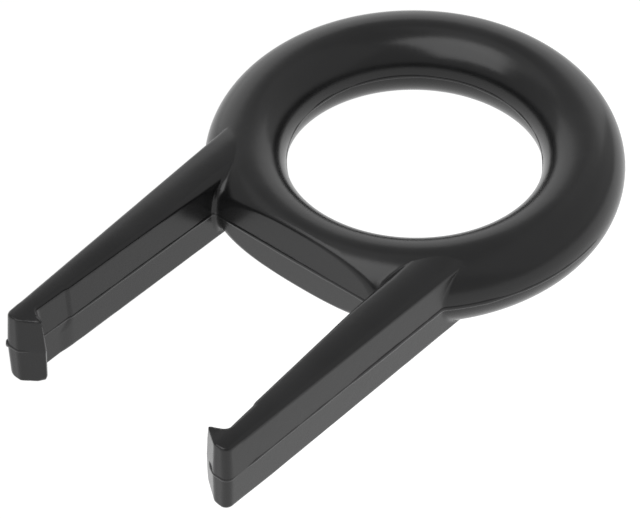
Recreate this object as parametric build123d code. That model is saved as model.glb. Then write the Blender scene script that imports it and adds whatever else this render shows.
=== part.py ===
from build123d import *
import math
import os

# Keycap puller: one moulded plastic piece, a round finger ring with two hooked arms.
# Millimetres. The origin is the ring's centre on the mould's parting plane,
# +Z is up through the finger hole, and the arms point along -Y.

# Finger ring
ring_outer_diameter = 35.3
ring_tube_diameter = 6.9

# Flat web across the front of the ring, between the arms
web_cut = 2.15
web_draft = 4.0
web_edge_radius = 0.3

# Arms: reach from the web to the tips, gap and widths on the parting plane
arm_reach = 21.9
arm_gap_at_web = 17.62
arm_width_at_web = 3.86
arm_width_at_tip = 1.9
arm_top_drop = 0.08
arm_bottom_drop = 0.02
arm_top_draft = 3.0
arm_bottom_draft = 2.2
arm_crown_radius = 7.5
arm_top_edge_radius = 0.34
arm_bottom_edge_radius = 0.25

# Keycap seat: a shallow relief in each arm's inner side, just behind the hook
seat_gap = 19.82
seat_depth = 0.1
seat_length = 3.5
seat_ramp = 0.5
seat_blend_radius = 0.6

# Hooks that turn in under the keycap's edge, with a blunt front that slants back to the nose
hook_reach = 1.48
hook_thickness = 2.2
hook_rake = 25.5
hook_front_slant = 36.0
hook_throat_radius = 0.45
hook_corner_radius = 0.65

# Mould flash: a hair-thin fin left all the way round on the parting plane
flash_height = 0.06
flash_thickness = 0.1

# Sizes that follow from the ones above
tube_radius = ring_tube_diameter / 2
ring_radius = ring_outer_diameter / 2 - tube_radius
web_y = web_cut - ring_outer_diameter / 2
tip_y = web_y - arm_reach
throat_y = tip_y + hook_thickness
seat_y = throat_y + seat_length
nose_y = throat_y - hook_reach * math.tan(math.radians(hook_rake))
web_x = arm_gap_at_web / 2
seat_x = seat_gap / 2
nose_x = seat_x - hook_reach
arm_top = tube_radius - arm_top_drop
arm_bottom = arm_bottom_drop - tube_radius
arm_centre_x = web_x + arm_width_at_web / 2


def drafted_ring():
    """The finger ring, with its front cut to a flat web that leans back from the parting plane."""
    ring = Torus(ring_radius, tube_radius)
    lean = ring_tube_diameter * math.tan(math.radians(web_draft))
    section = Polyline(
        (web_y, 0),
        (web_y + lean, ring_tube_diameter),
        (-ring_outer_diameter, ring_tube_diameter),
        (-ring_outer_diameter, -ring_tube_diameter),
        (web_y + lean, -ring_tube_diameter),
        close=True,
    )
    front = extrude(Plane.YZ * make_face(section), ring_outer_diameter / 2, both=True)
    ring = ring - front
    web_faces = ring.faces().filter_by(GeomType.PLANE)
    rims = [edge for edge in web_faces.edges() if edge.geom_type != GeomType.LINE]
    return fillet(rims, web_edge_radius)


def x_at(y, start, end):
    """Where the straight line from start to end, or its extension, passes the given y."""
    return start[0] + (end[0] - start[0]) * (y - start[1]) / (end[1] - start[1])


def arm_outline():
    """The right arm on the parting plane, from the ring's centre line to the hook."""
    slant_run = (nose_y - tip_y) / math.tan(math.radians(hook_front_slant))
    corner = (seat_x + arm_width_at_tip, tip_y)
    blunt_end = (nose_x + slant_run, tip_y)
    nose = (nose_x, nose_y)
    throat = (seat_x, throat_y)
    foot_y = seat_y - seat_ramp
    outer_root = (x_at(0, (web_x + arm_width_at_web, web_y), corner), 0)
    seat_edge = (x_at(seat_y, (web_x, web_y), throat) - seat_depth, seat_y)
    seat_foot = (x_at(foot_y, (web_x, web_y), throat), foot_y)
    inner_root = (x_at(0, (web_x, web_y), seat_edge), 0)
    inside = (inner_root, seat_edge, seat_foot, throat, nose)
    face = make_face(Polyline(corner, outer_root, *inside, blunt_end, close=True))
    rounds = (
        (corner, hook_corner_radius),
        (blunt_end, hook_corner_radius),
        (throat, hook_throat_radius),
        (seat_foot, seat_blend_radius),
        (seat_edge, seat_blend_radius),
    )
    for point, radius in rounds:
        vertex = face.vertices().sort_by_distance((*point, 0))[0]
        face = fillet(vertex, radius)
    return face


def crown_envelope():
    """A long lens that gives the arm its rounded top and bottom."""
    sag = arm_crown_radius - math.sqrt(arm_crown_radius**2 - arm_width_at_web**2)
    left = arm_centre_x - arm_width_at_web
    right = arm_centre_x + arm_width_at_web
    top = arm_top - sag
    bottom = arm_bottom + sag
    lens = Wire(
        [
            ThreePointArc((left, top), (arm_centre_x, arm_top), (right, top)),
            Line((right, top), (right, bottom)),
            ThreePointArc((right, bottom), (arm_centre_x, arm_bottom), (left, bottom)),
            Line((left, bottom), (left, top)),
        ]
    )
    return extrude(Plane.XZ * make_face(lens), ring_outer_diameter + arm_reach, dir=(0, -1, 0))


def right_arm():
    """One hooked arm, drafted both ways from the parting plane, crowned and round-edged."""
    outline = arm_outline()
    upper = extrude(outline, arm_top, taper=arm_top_draft)
    lower = extrude(outline, -arm_bottom, taper=arm_bottom_draft, dir=(0, 0, -1))
    arm = ((upper + lower) & crown_envelope()) - Cylinder(ring_radius, ring_outer_diameter)
    for radius, end in ((arm_top_edge_radius, -1), (arm_bottom_edge_radius, 0)):
        round_faces = arm.faces().filter_by(GeomType.CYLINDER)
        crowns = [face for face in round_faces if math.isclose(face.radius, arm_crown_radius)]
        roots = [face for face in round_faces if math.isclose(face.radius, ring_radius)]
        root_edges = [edge for face in roots for edge in face.edges()]
        rims = ShapeList(crowns).sort_by(Axis.Z)[end].edges()
        rims = [edge for edge in rims if not any(edge.is_same(other) for other in root_edges)]
        arm = fillet(rims, radius)
    return arm


def mould_flash():
    """The thin fin that follows the whole outline on the parting plane, the finger hole's too."""
    arm_face = arm_outline() - Circle(ring_radius)
    front = Pos(0, web_y - ring_outer_diameter / 2) * Rectangle(ring_outer_diameter, ring_outer_diameter)
    ring_face = Circle(ring_radius + tube_radius) - Circle(ring_radius - tube_radius) - front
    outline = ring_face + arm_face + mirror(arm_face, Plane.YZ)
    return extrude(offset(outline, flash_height), flash_thickness / 2, both=True)


arm = right_arm()
puller_body = drafted_ring() + arm + mirror(arm, Plane.YZ) + mould_flash()

os.makedirs("parts", exist_ok=True)
export_step(puller_body, "parts/puller_body.step")
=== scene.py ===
import math
import bpy
import numpy as np
from mathutils import Matrix, Vector


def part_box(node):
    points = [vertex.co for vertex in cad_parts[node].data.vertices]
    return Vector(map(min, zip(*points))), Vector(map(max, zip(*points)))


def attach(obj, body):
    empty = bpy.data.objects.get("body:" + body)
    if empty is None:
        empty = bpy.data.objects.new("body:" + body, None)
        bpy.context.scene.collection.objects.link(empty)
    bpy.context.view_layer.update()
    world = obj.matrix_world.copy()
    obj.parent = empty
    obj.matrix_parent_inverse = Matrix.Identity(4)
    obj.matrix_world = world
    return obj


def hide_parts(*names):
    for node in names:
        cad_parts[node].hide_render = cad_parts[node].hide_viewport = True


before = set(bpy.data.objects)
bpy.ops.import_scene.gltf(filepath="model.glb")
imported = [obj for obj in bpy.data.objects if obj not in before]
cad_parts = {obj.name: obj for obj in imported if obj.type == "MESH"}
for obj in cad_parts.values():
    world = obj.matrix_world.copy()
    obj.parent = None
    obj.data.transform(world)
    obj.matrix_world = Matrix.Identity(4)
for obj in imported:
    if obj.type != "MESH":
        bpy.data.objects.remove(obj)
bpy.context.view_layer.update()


# Moulded body
# The whole tool is one shot of black plastic: a round finger ring, a flat web across its front and
# two hooked arms. The skin is wrapped round the distance to those forms, which run into each other
# with moulded rounds. Lengths are millimetres, and the parting plane of the mould is z = 0.
MILLIMETRE = 0.001
body_low, body_high = [np.array(corner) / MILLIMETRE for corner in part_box("puller_body")]
flash_height = 0.06

# Finger ring, and the web that its front is cut to
tube_radius = body_high[2]
ring_radius = body_high[0] - flash_height - tube_radius
web_y = -15.5
web_draft = math.radians(4.0)
web_edge_radius = 0.3

# Arms
tip_y = body_low[1] + flash_height
arm_gap_at_web = 17.62
arm_width_at_web = 3.86
arm_width_at_tip = 1.9
arm_top = 3.37
arm_bottom = -3.43
arm_top_draft = math.radians(3.0)
arm_bottom_draft = math.radians(2.2)
arm_crown_radius = 7.5
tip_top_crown_radius = 4.0
tip_bottom_crown_radius = 30.0
arm_top_edge_radius = 0.34
arm_bottom_edge_radius = 0.25

# Roots of the arms: rounds into the ring that die away towards the crown, and a softer inner edge on top
inner_root_radius = 0.75
outer_root_radius = 0.15
root_change_reach = 1.0
root_top = 3.25
root_fade = 1.0
root_top_edge_radius = 0.8
root_edge_before_web = 4.0
root_edge_behind_web = 1.0

# Keycap seats: a shallow relief in the inner sides behind the hooks, with a longer ramp in the lower half
seat_gap = 19.82
seat_depth = 0.1
seat_length = 3.5
seat_ramp = 0.5
seat_ramp_below = 1.6
seat_ramp_change = 1.0

# Hooks: a blunt front that slants back to the nose, which ends in a narrow flat turned a little rearwards
hook_reach = 1.58
hook_thickness = 2.2
hook_rake = math.radians(25.5)
hook_front_slant = math.radians(36.0)
hook_throat_radius = 0.35
hook_corner_radius = 0.65
hook_blunt_radius = 0.1
hook_nose_radius = 0.05
hook_nose_flat = 0.22
hook_nose_flat_below = 0.34
hook_nose_flat_above = 0.44
hook_nose_turn = math.radians(26.0)
hook_crown_blend = 0.6

# Rounds of the hooks' upper and lower edges, from the nose to the outer corner, and where they set in
hook_brow_radii = (0.1, 0.2, 0.1, 0.16, 0.3)
left_foot_radii = (0.9, 0.15, 0.15, 0.2, 0.6)
right_foot_radii = (0.8, 0.7, 0.6, 0.35, 0.45)
brow_before_throat = 0.6
foot_before_throat = 0.7
foot_behind_throat = 3.0
nose_edge_radius = 0.1
nose_edge_width = 0.9
nose_edge_behind_throat = 0.5

# Places that follow from the sizes
web_x = arm_gap_at_web / 2
seat_x = seat_gap / 2
nose_x = seat_x - hook_reach
throat_y = tip_y + hook_thickness
seat_y = throat_y + seat_length
nose_y = throat_y - hook_reach * math.tan(hook_rake)
blunt_x = nose_x + (nose_y - tip_y) / math.tan(hook_front_slant)
corner_x = seat_x + arm_width_at_tip
arm_centre_x = web_x + arm_width_at_web / 2
nose = (nose_x, nose_y)
throat = (seat_x, throat_y)


def eased(share):
    """A share from 0 to 1 that starts and ends gently."""
    return share**2 * (3 - 2 * share)


def mixed(first, second, share):
    """The first value where the share is 0, the second where it is 1."""
    return first + (second - first) * share


def rounded_cut(first, second, radius):
    """What lies in both forms, with the edge between them rounded off."""
    corner = np.hypot(np.maximum(radius + first, 0), np.maximum(radius + second, 0))
    return np.minimum(-radius, np.maximum(first, second)) + corner


def filleted_join(first, second, radius):
    """What lies in either form, with the inner corner between them filled to a round."""
    corner = np.hypot(np.maximum(radius - first, 0), np.maximum(radius - second, 0))
    return np.maximum(radius, np.minimum(first, second)) - corner


def beyond_side(x, y, start, end):
    """Distance from the upright plane through two points, positive on the left of the way to the end."""
    run = (end[0] - start[0], end[1] - start[1])
    return (run[0] * (y - start[1]) - run[1] * (x - start[0])) / np.hypot(*run)


def ring_distance(x, y, z):
    """The finger ring, with its front cut to a web that leans back from the parting plane."""
    tube = np.hypot(np.hypot(x, y) - ring_radius, z) - tube_radius
    web = (web_y - y) * math.cos(web_draft) + np.abs(z) * math.sin(web_draft)
    return rounded_cut(tube, web, web_edge_radius)


def arm_inside(x, y, z, lean):
    """The arm's inner side with the keycap seat, and the rear and the nose flat of the hook."""
    rise = np.clip((web_y - y) / (web_y - seat_y), 0, 1)
    ramp_length = np.interp(z, [-seat_ramp_change, 0], [seat_ramp_below, seat_ramp])
    ramp = np.clip((seat_y - y) / ramp_length, 0, 1)
    proud = seat_depth * rise * (1 - eased(ramp))
    side = beyond_side(x, y, throat, (web_x, web_y)) + lean
    rear = beyond_side(x, y, nose, throat) + lean
    flat_depths = [hook_nose_flat_below, hook_nose_flat, hook_nose_flat_above]
    flat_depth = np.interp(z, [arm_bottom, 0, arm_top], flat_depths)
    behind_nose = (x - nose_x) * math.cos(hook_nose_turn) - (y - nose_y) * math.sin(hook_nose_turn)
    hook = np.maximum(rear, flat_depth - behind_nose)
    return filleted_join(side - proud, hook, hook_throat_radius)


def hook_front(x, y, z):
    """The hook's front, upright in its lower half: blunt at the outer corner, then slanted to the nose."""
    lean = np.maximum(z, 0) * math.sin(arm_top_draft)
    blunt = tip_y - y + lean
    slant = beyond_side(x, y, (blunt_x, tip_y), nose) + lean
    return rounded_cut(blunt, slant, hook_blunt_radius)


def arm_middle(y):
    """The middle between the arm's two sides, where its crown is highest."""
    return np.interp(y, [tip_y, web_y], [(seat_x + corner_x) / 2, arm_centre_x])


def arm_edges(x, y, on_right):
    """The radii of the arm's upper and lower edges, which change along the arm and across the hook."""
    across_hook = np.linspace(nose_x, corner_x, len(hook_brow_radii))
    brow = np.interp(x, across_hook, hook_brow_radii)
    left_foot = np.interp(x, across_hook, left_foot_radii)
    right_foot = np.interp(x, across_hook, right_foot_radii)
    foot = np.where(on_right, right_foot, left_foot)

    at_brow = np.interp(y, [throat_y - brow_before_throat, throat_y], [1, 0])
    at_nose = np.interp(x, [nose_x, nose_x + nose_edge_width], [1, 0])
    at_nose = at_nose * np.interp(y, [throat_y, throat_y + nose_edge_behind_throat], [1, 0])
    at_root = np.interp(y, [web_y - root_edge_before_web, web_y + root_edge_behind_web], [0, 1])
    at_root = at_root * (x < arm_middle(y))
    upper = mixed(arm_top_edge_radius, brow, at_brow)
    upper = mixed(upper, nose_edge_radius, at_nose)
    upper = mixed(upper, root_top_edge_radius, at_root)

    at_foot = np.interp(y, [throat_y - foot_before_throat, throat_y + foot_behind_throat], [1, 0])
    lower = mixed(arm_bottom_edge_radius, foot, at_foot)
    return upper, lower


def arm_distance(x, y, z, on_right):
    """A hooked arm, drafted both ways from the parting plane and crowned. Its inner side looks to x = 0,
    and it starts on the ring's centre line."""
    lean = np.where(z > 0, z * math.sin(arm_top_draft), -z * math.sin(arm_bottom_draft))
    outer = beyond_side(x, y, (web_x + arm_width_at_web, web_y), (corner_x, tip_y)) + lean
    outline = rounded_cut(outer, hook_front(x, y, z), hook_corner_radius)
    outline = rounded_cut(outline, arm_inside(x, y, z, lean), hook_nose_radius)

    # The crown bends across the arm, and runs level from the arm's inner side across the hook
    side_x = np.interp(y, [throat_y, web_y], [seat_x, web_x]) - seat_depth
    crown_x = (x + side_x + np.hypot(x - side_x, hook_crown_blend)) / 2 - arm_middle(y)
    top_crown = np.interp(y, [tip_y, web_y], [tip_top_crown_radius, arm_crown_radius])
    bottom_crown = np.interp(y, [tip_y, seat_y], [tip_bottom_crown_radius, arm_crown_radius])
    top = np.hypot(crown_x, z - arm_top + top_crown) - top_crown
    bottom = np.hypot(crown_x, z - arm_bottom - bottom_crown) - bottom_crown

    upper_edge, lower_edge = arm_edges(x, y, on_right)
    arm = rounded_cut(outline, top, upper_edge)
    arm = rounded_cut(arm, bottom, lower_edge)
    inside_centre_line = ring_radius - np.hypot(x, y)
    return np.maximum(np.maximum(arm, inside_centre_line), y)


def body_distance(x, y, z):
    """The whole tool: both arms run into the ring with a round that dies away towards the crown."""
    across_root = [arm_centre_x - root_change_reach, arm_centre_x + root_change_reach]
    root = np.interp(np.abs(x), across_root, [inner_root_radius, outer_root_radius])
    root = root * np.clip((root_top - np.abs(z)) / root_fade, 0, 1)
    return filleted_join(ring_distance(x, y, z), arm_distance(np.abs(x), y, z, x > 0), root)


def outward(points, distance):
    """The slopes of the distance at the given points, which point out of the form."""
    step = 0.002
    slopes = []
    for axis in range(3):
        shift = np.zeros(3)
        shift[axis] = step
        slopes.append(distance(*(points + shift).T) - distance(*(points - shift).T))
    return np.stack(slopes, axis=1) / (2 * step)


def grid_lines(low, high, pitch):
    """The grid's planes on each axis, half a pitch off zero, so that one layer of cells lies across z = 0."""
    half = np.ceil(np.maximum(-low, high) / pitch) * pitch + pitch / 2
    margin = 2 * pitch
    lines = []
    for axis in range(3):
        line = np.arange(-half[axis], half[axis] + pitch / 2, pitch)
        lines.append(line[(line > low[axis] - margin) & (line < high[axis] + margin)])
    return lines


cell_corners = [(i, j, k) for i in (0, 1) for j in (0, 1) for k in (0, 1)]
cell_edges = [(corner, axis) for corner in cell_corners for axis in range(3) if corner[axis] == 0]


def crossed_cells(solid):
    """The grid cells that the surface crosses: some of their corners are solid, and some aren't."""
    cells = np.array(solid.shape) - 1
    filled = np.zeros(cells, np.int8)
    for corner in cell_corners:
        filled += solid[tuple(slice(corner[i], corner[i] + cells[i]) for i in range(3))]
    return np.argwhere((filled > 0) & (filled < len(cell_corners)))


def skin_points(distance, depth, crossed, origin, pitch):
    """One point in each crossed cell, as near as can be to all the planes that touch the form where it
    crosses the cell's edges. In the layer across z = 0 the points lie on that plane."""
    count = np.zeros((len(crossed), 1))
    total = np.zeros((len(crossed), 3))
    planes = np.zeros((len(crossed), 3, 3))
    offsets = np.zeros((len(crossed), 3))
    for corner, axis in cell_edges:
        start = crossed + np.array(corner)
        end = start.copy()
        end[:, axis] += 1
        before = depth[tuple(start.T)]
        after = depth[tuple(end.T)]
        meets = (before < 0) != (after < 0)
        place = start[meets].astype(float)
        place[:, axis] += before[meets] / (before[meets] - after[meets])
        place = origin + place * pitch
        slope = outward(place, distance)
        slope /= np.linalg.norm(slope, axis=1)[:, None]
        count[meets] += 1
        total[meets] += place
        planes[meets] += slope[:, :, None] * slope[:, None, :]
        offsets[meets] += slope * (slope * place).sum(axis=1)[:, None]
    pull_to_mean = 0.05
    planes += pull_to_mean * np.eye(3)
    offsets += pull_to_mean * total / count
    points = np.linalg.solve(planes, offsets[:, :, None])[:, :, 0]
    cell_low = origin + crossed * pitch
    points = np.clip(points, cell_low, cell_low + pitch)
    across_zero = np.abs(cell_low[:, 2] + pitch / 2) < pitch / 4
    points[across_zero, 2] = 0
    return points


def skin_faces(solid, number):
    """A four-sided face across each grid edge that the surface crosses, between the cells round that edge."""
    faces = []
    for axis in range(3):
        across = [(axis + 1) % 3, (axis + 2) % 3]
        change = np.diff(solid.astype(np.int8), axis=axis)
        for sign in (1, -1):
            edge = np.argwhere(change == sign)
            turns = [(0, 0), (1, 0), (1, 1), (0, 1)]
            if sign == 1:
                turns.reverse()
            corners = []
            for turn in turns:
                cell = edge.copy()
                cell[:, across[0]] -= turn[0]
                cell[:, across[1]] -= turn[1]
                corners.append(number[tuple(cell.T)])
            faces.append(np.stack(corners, axis=1))
    return np.concatenate(faces)


def wrapped_skin(distance, low, high, pitch):
    """Points and four-sided faces round a form, from the grid cells that its surface crosses."""
    lines = grid_lines(low, high, pitch)
    depth = distance(*np.meshgrid(*lines, indexing="ij"))
    solid = depth < 0
    crossed = crossed_cells(solid)
    origin = np.array([line[0] for line in lines])
    number = np.full(np.array(solid.shape) - 1, -1)
    number[tuple(crossed.T)] = np.arange(len(crossed))
    return skin_points(distance, depth, crossed, origin, pitch), skin_faces(solid, number)


skin_pitch = 0.2
settling_rounds = 3
points, faces = wrapped_skin(body_distance, body_low, body_high, skin_pitch)
for _ in range(settling_rounds):
    slopes = outward(points, body_distance)
    depth = body_distance(*points.T)
    points = points - slopes * (depth / (slopes**2).sum(axis=1))[:, None]

# Each face's corner takes the form's own normal from just inside the face, so that edges stay crisp
toward_middle = 0.1
body_mesh = bpy.data.meshes.new("moulded_body")
body_mesh.from_pydata((points * MILLIMETRE).tolist(), [], faces.tolist())
body_mesh.update()
face_middles = points[faces].mean(axis=1)
loop_points = points[faces] + (face_middles[:, None, :] - points[faces]) * toward_middle
loop_normals = outward(loop_points.reshape(-1, 3), body_distance)
loop_normals /= np.linalg.norm(loop_normals, axis=1)[:, None]
body_mesh.normals_split_custom_set(loop_normals.tolist())
moulded_body = bpy.data.objects.new("moulded_body", body_mesh)
bpy.context.collection.objects.link(moulded_body)


def black_plastic():
    """Satin-gloss black moulding compound, with uneven gloss, faint sink waves and a very fine grain."""
    material = bpy.data.materials.new("black_plastic")
    material.use_nodes = True
    nodes = material.node_tree.nodes
    links = material.node_tree.links
    shader = nodes["Principled BSDF"]
    shader.inputs["IOR"].default_value = 1.43
    place = nodes.new("ShaderNodeTexCoord")

    def noise(scale, detail):
        texture = nodes.new("ShaderNodeTexNoise")
        texture.inputs["Scale"].default_value = scale
        texture.inputs["Detail"].default_value = detail
        links.new(place.outputs["Object"], texture.inputs["Vector"])
        return texture.outputs["Fac"]

    def relief(height, strength, depth):
        bump = nodes.new("ShaderNodeBump")
        bump.inputs["Strength"].default_value = strength
        bump.inputs["Distance"].default_value = depth * MILLIMETRE
        links.new(height, bump.inputs["Height"])
        return bump

    cloud = noise(scale=180.0, detail=4.0)
    colour = nodes.new("ShaderNodeValToRGB")
    darker, lighter = colour.color_ramp.elements
    darker.position = 0.3
    darker.color = (0.0045, 0.0045, 0.0047, 1)
    lighter.position = 0.7
    lighter.color = (0.0065, 0.0065, 0.0068, 1)
    links.new(cloud, colour.inputs["Fac"])
    links.new(colour.outputs["Color"], shader.inputs["Base Color"])

    gloss = nodes.new("ShaderNodeMapRange")
    gloss.inputs["From Min"].default_value = 0.3
    gloss.inputs["From Max"].default_value = 0.7
    gloss.inputs["To Min"].default_value = 0.21
    gloss.inputs["To Max"].default_value = 0.27
    links.new(cloud, gloss.inputs["Value"])
    links.new(gloss.outputs["Result"], shader.inputs["Roughness"])

    sink_waves = relief(noise(scale=1100.0, detail=2.0), strength=1.0, depth=0.006)
    grain = relief(noise(scale=5000.0, detail=2.0), strength=0.06, depth=0.02)
    links.new(sink_waves.outputs["Normal"], grain.inputs["Normal"])
    links.new(grain.outputs["Normal"], shader.inputs["Normal"])
    return material


plastic = black_plastic()
moulded_body.data.materials.append(plastic)
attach(moulded_body, "root")
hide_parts("puller_body")


# Parting-line flash
# Where the two halves of the mould met, a hair of plastic was squeezed out. It is a low bead round the
# whole tool and the finger hole, of the same shot of plastic, and only the crown of it stands proud.
# It is strong in some places and gone in others, where the mould closed well or the bead wore off.
flash_depth = 0.1
flash_width = 0.5
flash_step = 0.2
flash_grip = 0.02

# Each place on the parting plane, how far round it the bead changes, and how much it grows or shrinks there
strong_and_worn_places = [
    ("front of the right hook", (9.7, -36.83), 0.9, 0.5),
    ("nose of the right hook", (8.5, -35.9), 1.8, -0.6),
    ("outer corner of the left hook", (-11.6, -37.25), 0.35, 1.0),
    ("front of the left hook", (-9.1, -36.3), 1.4, -0.25),
    ("outer side of the right hook", (11.8, -35.8), 1.9, -0.3),
    ("root of the right arm, outside", (12.6, -18.0), 6.0, 0.3),
    ("front of the ring on the right", (14.0, -10.7), 7.0, 0.25),
    ("right side of the ring", (16.6, 6.0), 9.0, -0.35),
    ("middle of the web", (0.0, web_y), 9.5, 0.3),
    ("throat of the left hook", (-9.9, -35.0), 0.8, -0.2),
]

# The outline is the lower edge of the skin's faces that stand on the parting plane
on_parting = np.abs(points[:, 2]) < flash_grip
stands_on_parting = (on_parting[faces].sum(axis=1) == 2) & (points[faces, 2].max(axis=1) > flash_grip)
standing_faces = faces[stands_on_parting]
parting_edges = standing_faces[on_parting[standing_faces]].reshape(-1, 2)
kept, renumbered = np.unique(parting_edges, return_inverse=True)
inward = -outward(points[kept], body_distance)
inward /= np.linalg.norm(inward, axis=1)[:, None]
bead_line = points[kept] + inward * flash_depth
growth = np.zeros(len(kept))
for _, place, reach, change in strong_and_worn_places:
    nearness = np.clip(1 - np.hypot(*(points[kept, :2] - place).T) / reach, 0, 1)
    growth += change * eased(nearness)
flash_mesh = bpy.data.meshes.new("parting_flash")
flash_mesh.from_pydata((bead_line * MILLIMETRE).tolist(), renumbered.reshape(-1, 2).tolist(), [])
flash_mesh.attributes.new("growth", "FLOAT", "POINT").data.foreach_set("value", growth)
parting_flash = bpy.data.objects.new("parting_flash", flash_mesh)
bpy.context.collection.objects.link(parting_flash)


def bead_tree():
    """Geometry Nodes that lay an uneven bead along an outline, higher or lower where its growth says so."""
    tree = bpy.data.node_groups.new("flash_bead", "GeometryNodeTree")
    tree.is_modifier = True
    sockets = tree.interface
    sockets.new_socket("Outline", in_out="INPUT", socket_type="NodeSocketGeometry")
    for name in ("Height", "Width", "Step", "Patch Scale", "Seed", "Least"):
        sockets.new_socket(name, in_out="INPUT", socket_type="NodeSocketFloat")
    sockets.new_socket("Plastic", in_out="INPUT", socket_type="NodeSocketMaterial")
    sockets.new_socket("Bead", in_out="OUTPUT", socket_type="NodeSocketGeometry")
    nodes = tree.nodes
    links = tree.links
    given = nodes.new("NodeGroupInput").outputs

    route = nodes.new("GeometryNodeMeshToCurve")
    links.new(given["Outline"], route.inputs["Mesh"])
    even = nodes.new("GeometryNodeResampleCurve")
    even.mode = "LENGTH"
    links.new(route.outputs["Curve"], even.inputs["Curve"])
    links.new(given["Step"], even.inputs["Length"])
    level = nodes.new("GeometryNodeSetCurveNormal")
    level.mode = "Z_UP"
    links.new(even.outputs["Curve"], level.inputs["Curve"])

    place = nodes.new("GeometryNodeInputPosition")
    patches = nodes.new("ShaderNodeTexNoise")
    patches.noise_dimensions = "4D"
    links.new(place.outputs["Position"], patches.inputs["Vector"])
    links.new(given["Seed"], patches.inputs["W"])
    links.new(given["Patch Scale"], patches.inputs["Scale"])
    strength = nodes.new("ShaderNodeMapRange")
    strength.inputs["From Min"].default_value = 0.35
    strength.inputs["From Max"].default_value = 0.6
    strength.inputs["To Max"].default_value = 1.0
    links.new(patches.outputs["Fac"], strength.inputs["Value"])
    links.new(given["Least"], strength.inputs["To Min"])
    growth = nodes.new("GeometryNodeInputNamedAttribute")
    growth.data_type = "FLOAT"
    growth.inputs["Name"].default_value = "growth"
    grown = nodes.new("ShaderNodeMath")
    links.new(strength.outputs["Result"], grown.inputs[0])
    links.new(growth.outputs["Attribute"], grown.inputs[1])

    circle = nodes.new("GeometryNodeCurvePrimitiveCircle")
    circle.inputs["Resolution"].default_value = 24
    circle.inputs["Radius"].default_value = 1
    section = nodes.new("ShaderNodeCombineXYZ")
    links.new(given["Height"], section.inputs["X"])
    links.new(given["Width"], section.inputs["Y"])
    flat = nodes.new("GeometryNodeTransform")
    links.new(circle.outputs["Curve"], flat.inputs["Geometry"])
    links.new(section.outputs["Vector"], flat.inputs["Scale"])
    bead = nodes.new("GeometryNodeCurveToMesh")
    links.new(level.outputs["Curve"], bead.inputs["Curve"])
    links.new(flat.outputs["Geometry"], bead.inputs["Profile Curve"])
    links.new(grown.outputs["Value"], bead.inputs["Scale"])
    whole = nodes.new("GeometryNodeRealizeInstances")
    links.new(bead.outputs["Mesh"], whole.inputs["Geometry"])
    dressed = nodes.new("GeometryNodeSetMaterial")
    links.new(whole.outputs["Geometry"], dressed.inputs["Geometry"])
    links.new(given["Plastic"], dressed.inputs["Material"])
    links.new(dressed.outputs["Geometry"], nodes.new("NodeGroupOutput").inputs["Bead"])
    return tree


bead_maker = parting_flash.modifiers.new("bead", "NODES")
bead_maker.node_group = bead_tree()
bead_inputs = {
    "Height": (flash_depth + flash_height) * MILLIMETRE,
    "Width": flash_width / 2 * MILLIMETRE,
    "Step": flash_step * MILLIMETRE,
    "Patch Scale": 350.0,
    "Seed": 5.0,
    "Least": 0.72,
    "Plastic": plastic,
}
for socket in bead_maker.node_group.interface.items_tree:
    if socket.name in bead_inputs:
        bead_maker[socket.identifier] = bead_inputs[socket.name]
parting_flash.data = bpy.data.meshes.new_from_object(
    parting_flash.evaluated_get(bpy.context.evaluated_depsgraph_get())
)
parting_flash.modifiers.clear()
parting_flash.data.shade_smooth()
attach(parting_flash, "root")


# Floor, studio light and camera
# A white table that shines all over, a wide softbox in front and above, weaker ones over the left and
# behind on both sides, and a camera in front of the tool, to its right and well above it.
# Lengths are metres from here on.
floor_reach = 0.6
floor_z = body_low[2] * MILLIMETRE
floor_corners = [(-1, -1), (1, -1), (1, 1), (-1, 1)]
floor_points = [(x * floor_reach, y * floor_reach, floor_z) for x, y in floor_corners]
floor_mesh = bpy.data.meshes.new("floor")
floor_mesh.from_pydata(floor_points, [], [(0, 1, 2, 3)])
floor = bpy.data.objects.new("floor", floor_mesh)
bpy.context.collection.objects.link(floor)


def lit_white_table():
    """A white table lit from within, a little brighter on the right."""
    material = bpy.data.materials.new("lit_white_table")
    material.use_nodes = True
    nodes = material.node_tree.nodes
    links = material.node_tree.links
    table = nodes["Principled BSDF"]
    table.inputs["Base Color"].default_value = (0, 0, 0, 1)
    table.inputs["Specular IOR Level"].default_value = 0
    table.inputs["Emission Color"].default_value = (1, 1, 1, 1)
    place = nodes.new("ShaderNodeTexCoord")
    parts = nodes.new("ShaderNodeSeparateXYZ")
    links.new(place.outputs["Object"], parts.inputs["Vector"])
    glow = nodes.new("ShaderNodeMapRange")
    glow.inputs["From Min"].default_value = -0.012
    glow.inputs["From Max"].default_value = 0.015
    glow.inputs["To Min"].default_value = 1.01
    glow.inputs["To Max"].default_value = 1.17
    links.new(parts.outputs["X"], glow.inputs["Value"])
    links.new(glow.outputs["Result"], table.inputs["Emission Strength"])
    return material


floor_mesh.materials.append(lit_white_table())


def direction(azimuth, elevation):
    """The way to a point seen from the tool: azimuth 0 is in front, 90 on the right."""
    around = math.radians(azimuth)
    above = math.radians(elevation)
    return Vector((math.sin(around) * math.cos(above), -math.cos(around) * math.cos(above), math.sin(above)))


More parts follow.
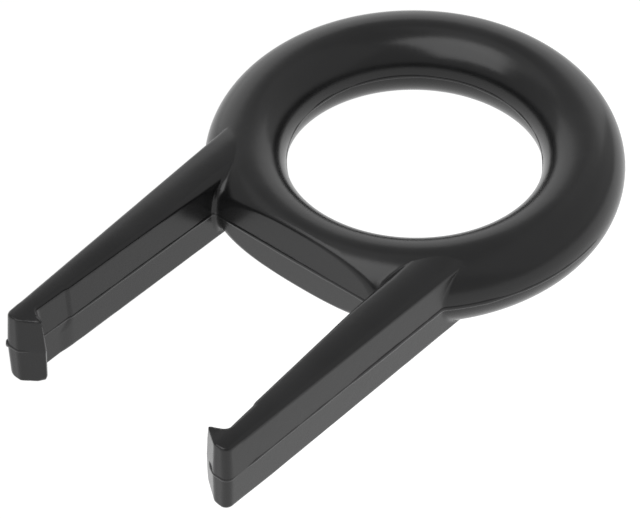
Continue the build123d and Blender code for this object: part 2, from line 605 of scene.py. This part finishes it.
def softbox(name, azimuth, elevation, width, height, radiance):
    """A flat lit panel that faces the tool. Width and height are the angles that it fills, in degrees."""
    distance = 0.6
    light = bpy.data.lights.new(name, "AREA")
    light.shape = "RECTANGLE"
    light.size = 2 * distance * math.tan(math.radians(width / 2))
    light.size_y = 2 * distance * math.tan(math.radians(height / 2))
    light.energy = radiance * math.pi * light.size * light.size_y
    panel = bpy.data.objects.new(name, light)
    back = direction(azimuth, elevation)
    panel.location = back * distance
    panel.rotation_euler = back.to_track_quat("Z", "Y").to_euler()
    bpy.context.collection.objects.link(panel)


softbox("front_softbox", azimuth=-5, elevation=54, width=52, height=54, radiance=2.3)
softbox("overhead_left", azimuth=-70, elevation=66, width=45, height=40, radiance=0.35)
softbox("back_glow", azimuth=-137, elevation=17, width=80, height=40, radiance=0.85)
softbox("side_glow", azimuth=135, elevation=40, width=90, height=60, radiance=0.2)

world = bpy.data.worlds.new("studio")
world.use_nodes = True
world.node_tree.nodes["Background"].inputs["Color"].default_value = (0.55, 0.55, 0.55, 1)
bpy.context.scene.world = world
bpy.context.scene.view_settings.view_transform = "Standard"

camera_azimuth = 40.502
camera_elevation = 44.358
camera_roll = math.radians(-0.658)
camera_distance = 286.869 * MILLIMETRE
camera_aim = Vector((1.479, -14.086, 0)) * MILLIMETRE
focal_pixels = 3517.655
image_width = 640
back = direction(camera_azimuth, camera_elevation)
level = direction(camera_azimuth + 90, 0)
upright = back.cross(level)
right = level * math.cos(camera_roll) + upright * math.sin(camera_roll)
up = upright * math.cos(camera_roll) - level * math.sin(camera_roll)
lens = bpy.data.cameras.new("camera")
lens.sensor_fit = "HORIZONTAL"
lens.sensor_width = 36.0
lens.lens = lens.sensor_width * focal_pixels / image_width
lens.clip_start = 0.01
camera = bpy.data.objects.new("camera", lens)
turn = Matrix((right, up, back)).transposed().to_4x4()
camera.matrix_world = Matrix.Translation(camera_aim + back * camera_distance) @ turn
bpy.context.collection.objects.link(camera)
bpy.context.scene.camera = camera
